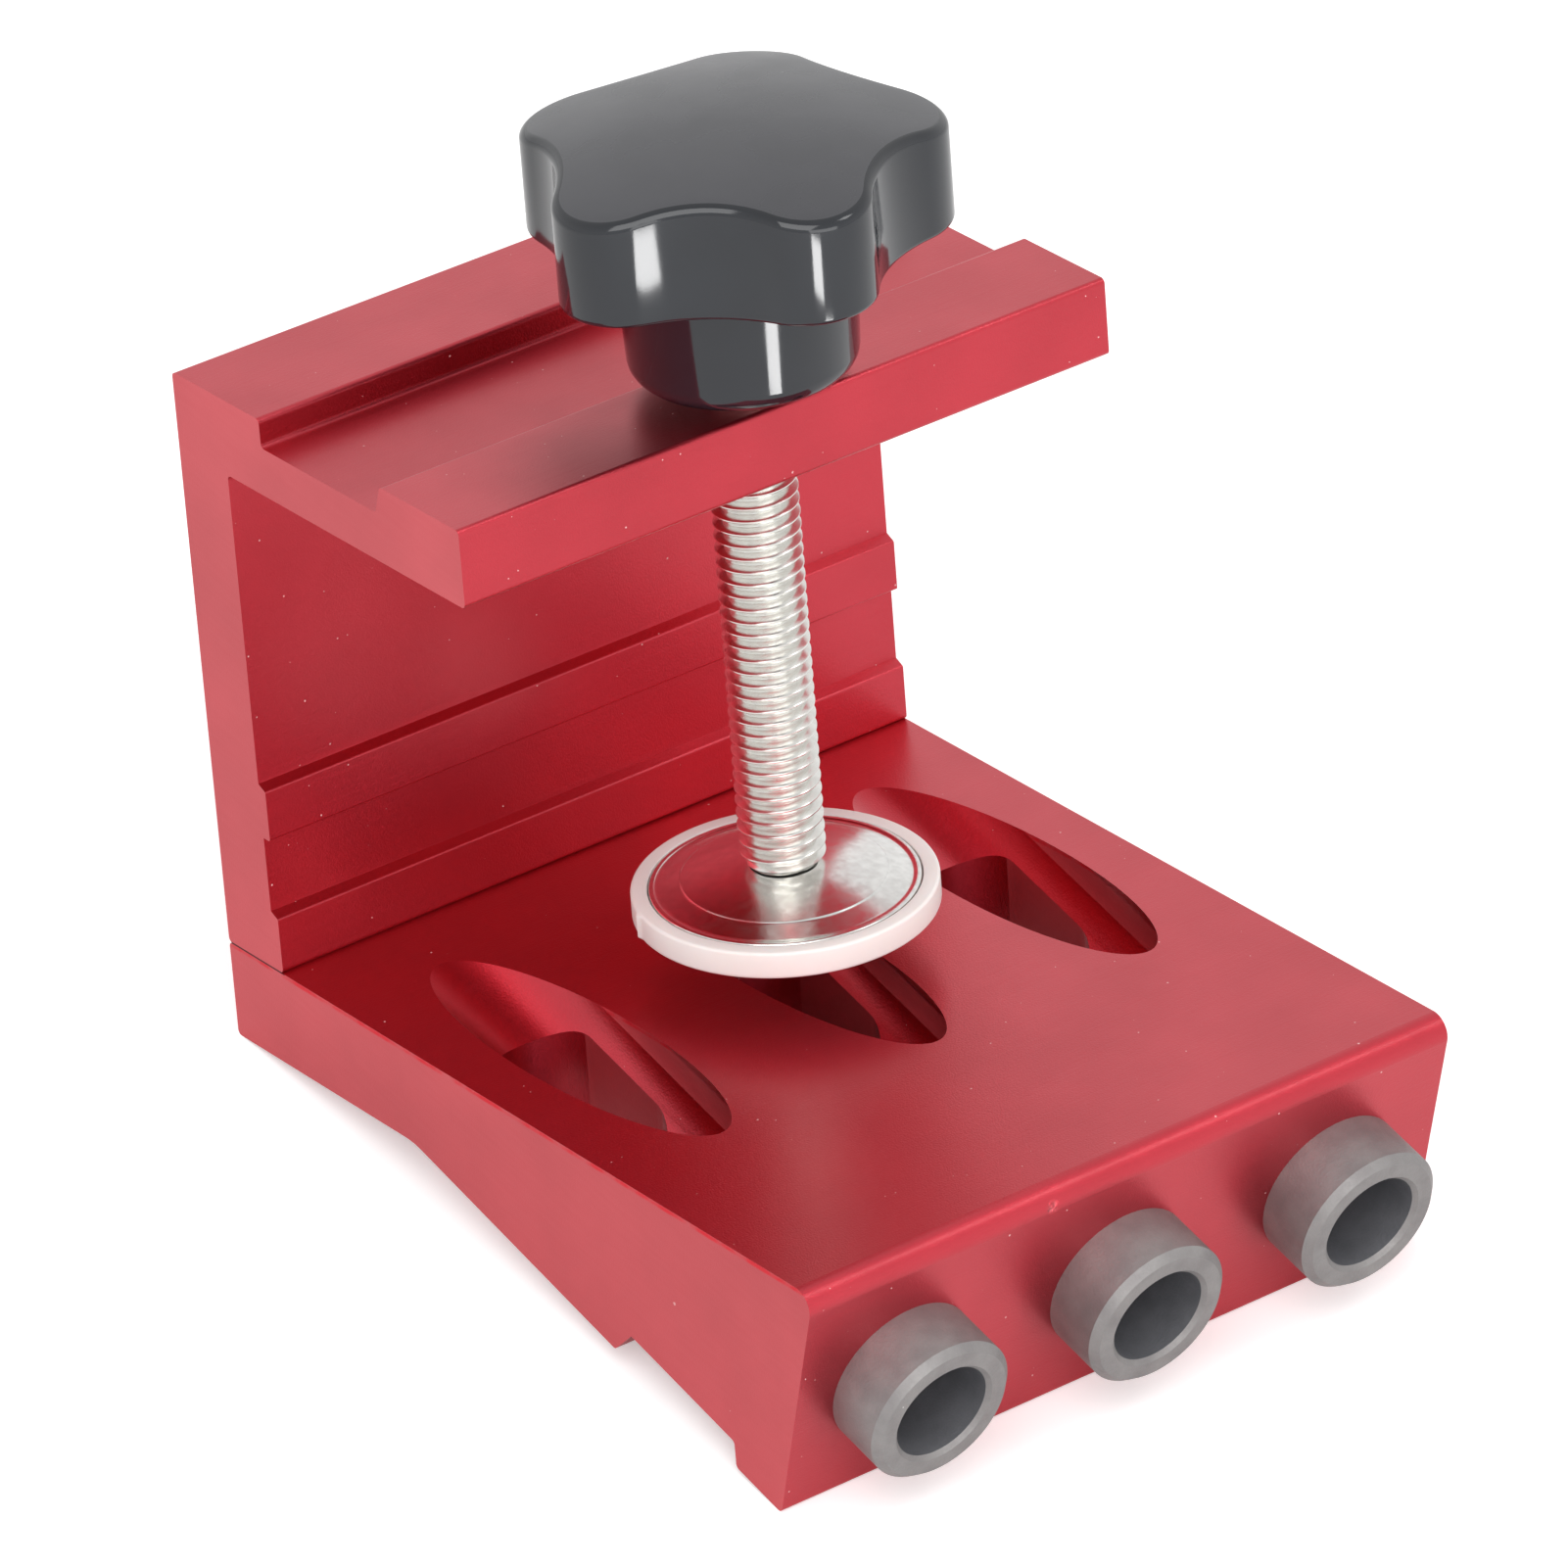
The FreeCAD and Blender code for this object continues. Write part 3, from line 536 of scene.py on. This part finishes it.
# Turns (radius, height, rounding) corners into a path with an arc at each rounded corner
def roundedPath(corners, steps=5):
    path = []
    count = len(corners)
    for index, (across, up, rounding) in enumerate(corners):
        if rounding <= 0 or index in (0, count - 1):
            path.append((across, up))
            continue
        here = Vector((across, up))
        before = (Vector(corners[index - 1][:2]) - here).normalized()
        after = (Vector(corners[index + 1][:2]) - here).normalized()
        half = math.acos(max(-1, min(1, before.dot(after)))) / 2
        reach = rounding / math.tan(half)
        centre = here + (before + after).normalized() * (rounding / math.sin(half))
        start = here + before * reach - centre
        end = here + after * reach - centre
        swing = start.angle_signed(end)
        for step in range(steps + 1):
            spoke = Matrix.Rotation(-swing * step / steps, 2) @ start
            path.append(tuple(centre + spoke))
    return path


# Points and faces of a path turned about the upright axis; ends on the axis are closed
def latheMesh(path, segments, start=0):
    points = []
    rings = []
    for across, up in path:
        if across < 1e-6:
            rings.append([start + len(points)])
            points.append((0, 0, up))
            continue
        ring = []
        for index in range(segments):
            angle = 2 * math.pi * index / segments
            ring.append(start + len(points))
            points.append((across * math.cos(angle), across * math.sin(angle), up))
        rings.append(ring)
    return points, joinRings(rings, segments)


def joinRings(rings, segments):
    faces = []
    for low, high in zip(rings, rings[1:]):
        for index in range(segments):
            after = (index + 1) % segments
            if len(low) == 1 and len(high) == 1:
                continue
            if len(low) == 1:
                faces.append((low[0], high[after], high[index]))
            elif len(high) == 1:
                faces.append((low[index], low[after], high[0]))
            else:
                faces.append((low[index], low[after], high[after], high[index]))
    return faces


# Rides with its body in place of its solid, with shading split at edges over the sharp angle
def finishPiece(piece, body, node, sharpAngle):
    piece.data.set_sharp_from_angle(angle=math.radians(sharpAngle))
    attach(piece, body)
    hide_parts(node)
    return piece


def paintNode(name, *materials):
    mesh = nodes[name].data
    mesh.materials.clear()
    for material in materials:
        mesh.materials.append(material)


# The long faces are anodised, the two sawn ends duller
def paintExtrusion(name):
    paintNode(name, redAnodised, redSawnEnd)
    for face in nodes[name].data.polygons:
        face.material_index = 1 if abs(face.normal.x) > 0.98 else 0


# The bore, painted darker as shade, faces its own axis, and its chamfer leans away from that, so it counts
# as outside
def paintBush(name, rise):
    paintNode(name, painted["bushSteel"], painted["shadedBoreSteel"])
    mesh = nodes[name].data
    along = Vector((0, math.cos(rise), math.sin(rise)))
    corners = [vertex.co for vertex in mesh.vertices]
    middle = Vector([(min(c[i] for c in corners) + max(c[i] for c in corners)) / 2 for i in range(3)])
    for face in mesh.polygons:
        out = face.center - middle
        out -= along * out.dot(along)
        face.material_index = 1 if out.dot(face.normal) < -0.9 * out.length else 0


for name in ("base_block", "clamp_frame"):
    paintExtrusion(name)
for name in ("drill_bush_left", "drill_bush_middle", "drill_bush_right"):
    paintBush(name, math.radians(jigSettings["boreSlope"] - jigSettings["lean"]))
for name in ("frame_screw_left", "frame_screw_middle", "frame_screw_right"):
    paintNode(name, painted["blackOxide"])
print("solids painted")


# M8 thread. Lengths are in mm from here on, and heights are above the base's top.
threadSettings = {
    "crest": 3.9,
    "root": 3.18,
    "pitch": 1.25,
    "crestFlat": 0.16,
    "rootFlat": 0.28,
    "rootRound": 0.05,
    "crestRound": 0.03,
    "roundShare": 0.1,  # of the thread's depth
    "chamfer": 0.75,
    "endHeight": 9.9,
    "topHeight": 67.6,
    "segments": 56,
    "turnedSegments": 48,
    "sharpAngle": 38,
    "neckPath": [  # radius, height, rounding of the swaged neck
        (0, 7.3, 0),
        (3.6, 7.3, 0.35),
        (3.6, 8.38, 0.25),
        (2.5, 8.38, 0),
        (2.5, 10.0, 0),
        (0, 10.0, 0),
    ],
    "collarPath": [
        (0, 67.55, 0),
        (6, 67.55, 0.2),
        (6, 72.5, 0.2),
        (3.88, 72.5, 0),
        (3.88, 74.5, 0.3),
        (0, 74.5, 0),
    ],
}


# Right-hand helical thread as one long strip, cut square at both ends and capped
def makeThread(settings):
    pitch = settings["pitch"]
    rootFlat, crestFlat = settings["rootFlat"], settings["crestFlat"]
    root, crest = settings["root"], settings["crest"]
    rootRound, crestRound = settings["rootRound"], settings["crestRound"]
    soft = (crest - root) * settings["roundShare"]
    climb = rootFlat + (pitch - crestFlat - rootFlat) / 2
    profile = [
        (0, root),
        (rootFlat * 0.5, root),
        (rootFlat + rootRound, root + soft),
        (climb - rootRound, crest - soft),
        (climb + crestRound, crest),
        (climb + crestFlat - crestRound, crest),
        (climb + crestFlat + rootRound, crest - soft),
        (pitch - rootRound, root + soft),
    ]
    segments = settings["segments"]
    low = settings["endHeight"]
    turns = math.ceil((settings["topHeight"] - low) / pitch) + 3
    count = turns * segments
    points = []
    for step in range(count + 1):
        angle = 2 * math.pi * step / segments
        base = low - 2 * pitch + pitch * step / segments
        for along, radius in profile:
            height = base + along
            edge = crest - settings["chamfer"] + max(0.0, height - low)
            radius = min(radius, edge)
            points.append((radius * math.cos(angle), radius * math.sin(angle), height))
    width = len(profile)
    faces = []
    for step in range(count):
        for index in range(width - 1):
            here = step * width + index
            faces.append((here, here + width, here + width + 1, here + 1))
        if step + segments < count:
            here = step * width + width - 1
            above = (step + segments) * width
            faces.append((here, here + width, above + width, above))
    mesh = bpy.data.meshes.new("threadStrip")
    mesh.from_pydata(points, [], faces)
    work = bmesh.new()
    work.from_mesh(mesh)
    for height, outward in ((low, -1), (settings["topHeight"], 1)):
        bmesh.ops.bisect_plane(
            work,
            geom=work.verts[:] + work.edges[:] + work.faces[:],
            plane_co=(0, 0, height),
            plane_no=(0, 0, outward),
            clear_outer=True,
        )
        loose = [edge for edge in work.edges if edge.is_boundary]
        rim = [edge for edge in loose if abs(edge.verts[0].co.z - height) < 1e-5]
        bmesh.ops.holes_fill(work, edges=rim)
    bmesh.ops.recalc_face_normals(work, faces=work.faces)
    work.to_mesh(mesh)
    work.free()
    return mesh


def makeClampScrew(settings):
    strip = makeThread(settings)
    points = [tuple(vertex.co) for vertex in strip.vertices]
    faces = [tuple(face.vertices) for face in strip.polygons]
    bpy.data.meshes.remove(strip)
    for path in ("neckPath", "collarPath"):
        more, sides = latheMesh(roundedPath(settings[path]), settings["turnedSegments"], len(points))
        points += more
        faces += sides
    piece = meshObject("threadedScrew", points, faces, onScrew(0), [painted["platedThread"]])
    return finishPiece(piece, "handle", "clamp_screw", settings["sharpAngle"])


makeClampScrew(threadSettings)
print("clamp screw threaded")


knobSettings = {
    "reach": 19.4,
    "valley": 15.3,
    "lobeRound": 6.0,
    "lobes": 5,
    "turn": 46.5,
    "foot": 58.5,  # of the hub, along the screw
    "hubFoot": 10.15,
    "hub": 10.65,
    "hubHeight": 11.8,
    "hubRound": 2.0,
    "headHeight": 9.5,
    "dome": 3.1,
    "rimRound": 0.75,
    "underRound": 0.6,
    "bore": 3.95,
    "boreTop": 16.1,
    "boreRound": 0.35,
    "hubRoot": (0.5, 1.0),  # rounding under the head, and how far it reaches out
    "perLobe": 22,
    "perScallop": 22,
    "underSteps": 5,
    "rimSteps": 9,
    "topShares": (0.93, 0.8, 0.65, 0.5, 0.34, 0.18, 0.07),
    "sharpAngle": 40,
}


# Outline of the knob's head drawn in by an inset: lobes joined by scallops that meet them smoothly
def starOutline(settings, inset):
    half = math.pi / settings["lobes"]
    lobe = settings["lobeRound"]
    reach = settings["reach"] - lobe
    valley = settings["valley"]
    straight = valley - reach * math.cos(half) - lobe
    scallop = (lobe**2 - reach**2 - valley**2 + 2 * reach * valley * math.cos(half)) / (2 * straight)
    outline = []
    for index in range(settings["lobes"]):
        middle = 2 * half * index + math.radians(settings["turn"])
        centre = Vector((math.cos(middle), math.sin(middle))) * reach
        outer = middle + half
        hollow = Vector((math.cos(outer), math.sin(outer))) * (valley + scallop)
        towards = hollow - centre
        swing = (math.atan2(towards.y, towards.x) - middle) % (2 * math.pi)
        for step in range(settings["perLobe"]):
            angle = middle - swing + 2 * swing * step / settings["perLobe"]
            outline.append(centre + Vector((math.cos(angle), math.sin(angle))) * (lobe - inset))
        sweep = half - swing
        for step in range(settings["perScallop"]):
            angle = outer + math.pi - sweep + 2 * sweep * step / settings["perScallop"]
            outline.append(hollow + Vector((math.cos(angle), math.sin(angle))) * (scallop + inset))
    return outline


def makeKnob(settings):
    ring = starOutline(settings, 0)
    spokes = [point.normalized() for point in ring]
    count = len(ring)
    hubHeight = settings["hubHeight"]
    rim = settings["rimRound"]
    under = settings["underRound"]
    crown = hubHeight + settings["headHeight"] + settings["dome"]
    sphere = (settings["reach"] ** 2 + settings["dome"] ** 2) / (2 * settings["dome"])

    def domeHeight(distance):
        return crown - sphere + math.sqrt(sphere**2 - distance**2)

    levels = [[(0, 0, settings["boreTop"])]]
    rootRound, rootReach = settings["hubRoot"]
    hubPath = roundedPath(
        [
            (settings["bore"], settings["boreTop"], 0),
            (settings["bore"], 0, settings["boreRound"]),
            (settings["hubFoot"], 0, settings["hubRound"]),
            (settings["hub"], hubHeight, rootRound),
            (settings["hub"] + rootReach, hubHeight, 0),
        ]
    )
    for across, up in hubPath:
        levels.append([(spoke.x * across, spoke.y * across, up) for spoke in spokes])
    for step in range(settings["underSteps"] + 1):
        angle = math.pi / 2 * step / settings["underSteps"]
        outline = starOutline(settings, under * (1 - math.sin(angle)))
        levels.append([(point.x, point.y, hubHeight + under * (1 - math.cos(angle))) for point in outline])
    for step in range(settings["rimSteps"] + 1):
        angle = math.pi / 2 * step / settings["rimSteps"]
        outline = starOutline(settings, rim * (1 - math.cos(angle)))
        level = []
        for point in outline:
            height = domeHeight(point.length) - rim * (1 - math.sin(angle))
            level.append((point.x, point.y, height))
        levels.append(level)
    inner = starOutline(settings, rim)
    for share in settings["topShares"]:
        levels.append([(p.x * share, p.y * share, domeHeight(p.length * share)) for p in inner])
    levels.append([(0, 0, crown)])

    points = []
    rings = []
    for level in levels:
        rings.append(list(range(len(points), len(points) + len(level))))
        points += level
    faces = joinRings(rings, count)
    plastics = [painted["knobBlack"], painted["knobSatin"]]
    piece = meshObject("starKnob", points, faces, onScrew(settings["foot"]), plastics)
    top = len(faces) - (len(settings["topShares"]) + 1) * count  # the faces inside the rim come last
    for face in piece.data.polygons:
        face.material_index = 1 if face.index >= top else 0
    return finishPiece(piece, "handle", "star_knob", settings["sharpAngle"])


starKnob = makeKnob(knobSettings)
print("knob built")


padSettings = {
    "foot": 5.2,
    "capRadius": 13.8,
    "capHeight": 2.6,
    "capFloor": 1.4,
    "burrTurn": 163.0,  # degrees; the moulding gate left a burr on the cap's side
    "burr": 0.26,
    "burrHalf": 0.6,
    "burrBelow": 0.2,
    "capRounds": (0.35, 0.3, 0.12, 0.15),  # foot, rim, lip of the well, well's floor
    "capSegments": 256,
    "wellRadius": 12.3,
    "discRadius": 12.2,
    "discThick": 1.2,
    "crease": 9.3,
    "creaseStep": 0.09,
    "flange": 11.5,
    "domeHeight": 2.0,
    "hole": 2.58,
    "holeThin": 0.05,  # the sheet thins towards its hole
    "rimRise": 0.05,
    "rimRounds": (0.25, 0.22, 0.15),
    "rimWidth": 0.25,
    "creaseSteps": ((0.12, 1.0), (0.05, 0.7), (-0.02, 0.1), (-0.09, 0.0)),
    "underSteps": 10,
    "overSteps": 24,
    "discSegments": 160,
    "sharpAngle": {"cap": 40, "disc": 50},
}


def makePadCap(settings):
    floor = settings["foot"] + settings["capFloor"]
    top = settings["foot"] + settings["capHeight"]
    radius, well = settings["capRadius"], settings["wellRadius"]
    footRound, rimRound, lipRound, floorRound = settings["capRounds"]
    outline = [
        (0, settings["foot"], 0),
        (radius, settings["foot"], footRound),
        (radius, top, rimRound),
        (well, top, lipRound),
        (well, floor, floorRound),
        (0, floor, 0),
    ]
    points, faces = latheMesh(roundedPath(outline), settings["capSegments"])
    burrTurn, burrHalf = math.radians(settings["burrTurn"]), settings["burrHalf"]
    for index, (x, y, up) in enumerate(points):
        aside = abs(math.atan2(y, x) - burrTurn) * radius
        onSide = math.hypot(x, y) > radius - 0.1 and up < top - settings["burrBelow"]
        if onSide and aside < burrHalf:
            grow = 1 + settings["burr"] * (1 - aside / burrHalf) / radius
            points[index] = (x * grow, y * grow, up)
    piece = meshObject("padCap", points, faces, onScrew(0), [painted["whiteNylon"]])
    return finishPiece(piece, "pad", "pad_cap", settings["sharpAngle"]["cap"])


# A shallow pressed dome with a fine step round it and a rolled flange at its edge
def makePadDisc(settings):
    floor = settings["foot"] + settings["capFloor"]
    top = floor + settings["discThick"]
    hole, flange, edge = settings["hole"], settings["flange"], settings["discRadius"]
    rise = settings["domeHeight"]

    def dome(across):
        return rise * (flange**2 - across**2) / (flange**2 - hole**2)

    crease, creaseStep = settings["crease"], settings["creaseStep"]
    thin = settings["holeThin"]
    outline = [(hole, floor + rise - thin, 0)]
    steps = settings["underSteps"]
    for step in range(steps + 1):
        across = hole + (flange - hole) * step / steps
        outline.append((across, floor + dome(across) - thin * (1 - step / steps), 0))
    rim = top + settings["rimRise"]
    corners = ((edge, floor), (edge, rim), (flange + settings["rimWidth"], rim))
    outline += [(*corner, rounding) for corner, rounding in zip(corners, settings["rimRounds"])]
    steps = settings["overSteps"]
    for step in range(steps + 1):
        across = flange - (flange - hole) * step / steps
        drop = creaseStep if across > crease else 0
        outline.append((across, top + dome(across) - drop, 0))
        nearer = flange - (flange - hole) * (step + 1) / steps
        if across > crease >= nearer:
            for offset, share in settings["creaseSteps"]:
                ring = crease + offset
                outline.append((ring, top + dome(ring) - creaseStep * share, 0))
    outline.append((hole, floor + rise - thin, 0))
    points, faces = latheMesh(roundedPath(outline), settings["discSegments"])
    piece = meshObject("padDisc", points, faces, onScrew(0), [painted["brightDisc"]])
    return finishPiece(piece, "pad", "pad_disc", settings["sharpAngle"]["disc"])


makePadCap(padSettings)
makePadDisc(padSettings)
print("pad built")


# Metres and watts. The two strips light only the knob.
studioSettings = {
    "horizon": 1.0,
    "overhead": 0.8,
    "skyBand": (0.25, 0.9),
    "floor": rgb(0.86, 0.86, 0.86),
    "floorSize": 3.0,
    "floorRoughness": 0.9,
    "floorGlow": 0.35,  # seen by the camera alone, so that the floor melts into the white
}
lampSettings = {
    "key": {"place": (0.55, -0.34, 0.9), "aim": (0, 0, 0.03), "size": (0.25, 0.25), "power": 0.7},
    "fill": {"place": (-0.55, -0.5, 0.95), "aim": (0, 0, 0.03), "size": (0.9, 0.9), "power": 6.0},
    "front": {"place": (-0.1, -1.1, 0.35), "aim": (0, 0, 0.04), "size": (0.9, 0.6), "power": 3.3},
    "hubStrip": {
        "place": (-0.011, -0.12, 0.022),
        "aim": (-0.011, 0, 0.022),
        "size": (0.026, 0.03),
        "power": 0.034,
    },
    "headStrip": {
        "place": (-0.043, -0.12, 0.058),
        "aim": (-0.043, 0, 0.058),
        "size": (0.032, 0.028),
        "power": 0.04,
    },
}


def makeFloor(settings):
    half = settings["floorSize"] / 2
    mesh = bpy.data.meshes.new("studioFloor")
    corners = [(-half, -half, 0), (half, -half, 0), (half, half, 0), (-half, half, 0)]
    mesh.from_pydata(corners, [], [(0, 1, 2, 3)])
    floor = bpy.data.objects.new("studioFloor", mesh)
    scene.collection.objects.link(floor)
    material, tree, shader = newMaterial("paleFloor")
    shader.inputs["Base Color"].default_value = settings["floor"]
    shader.inputs["Roughness"].default_value = settings["floorRoughness"]
    shader.inputs["Specular IOR Level"].default_value = 0.0
    path = addNode(tree, "ShaderNodeLightPath")
    seen = math2(tree, "ADD", path.outputs["Is Camera Ray"], path.outputs["Is Transmission Ray"], True)
    shader.inputs["Emission Color"].default_value = rgb(1, 1, 1)
    feed(tree, shader.inputs["Emission Strength"], math2(tree, "MULTIPLY", seen, settings["floorGlow"]))
    mesh.materials.append(material)


def makeLamp(name, settings):
    data = bpy.data.lights.new(name, "AREA")
    data.shape = "RECTANGLE"
    data.size, data.size_y = settings["size"]
    data.energy = settings["power"]
    lamp = bpy.data.objects.new(name, data)
    scene.collection.objects.link(lamp)
    towards = Vector(settings["aim"]) - Vector(settings["place"])
    lamp.location = settings["place"]
    lamp.rotation_euler = towards.to_track_quat("-Z", "Y").to_euler()
    lamp.visible_camera = False
    return lamp


# Like a strip box flagged off the rest
def lightOnly(lamp, piece):
    lit = bpy.data.collections.new(lamp.name + "Lit")
    lit.objects.link(piece)
    lamp.light_linking.receiver_collection = lit


def makeWorld(settings):
    world = bpy.data.worlds.new("studioWorld")
    scene.world = world
    world.use_nodes = True
    tree = world.node_tree
    background = tree.nodes["Background"]
    path = addNode(tree, "ShaderNodeLightPath")
    background.inputs["Color"].default_value = rgb(1, 1, 1)
    split = addNode(tree, "ShaderNodeSeparateXYZ")
    tree.links.new(addNode(tree, "ShaderNodeTexCoord").outputs["Generated"], split.inputs[0])
    sky = remap(tree, split.outputs["Z"], *settings["skyBand"], settings["horizon"], settings["overhead"])
    seen = math2(tree, "MAXIMUM", path.outputs["Is Camera Ray"], path.outputs["Is Transmission Ray"])
    feed(tree, background.inputs["Strength"], math2(tree, "MAXIMUM", seen, sky))


makeFloor(studioSettings)
makeWorld(studioSettings)
for name, settings in lampSettings.items():
    lamp = makeLamp(name + "Lamp", settings)
    if name.endswith("Strip"):
        lightOnly(lamp, starKnob)
print("studio lit")
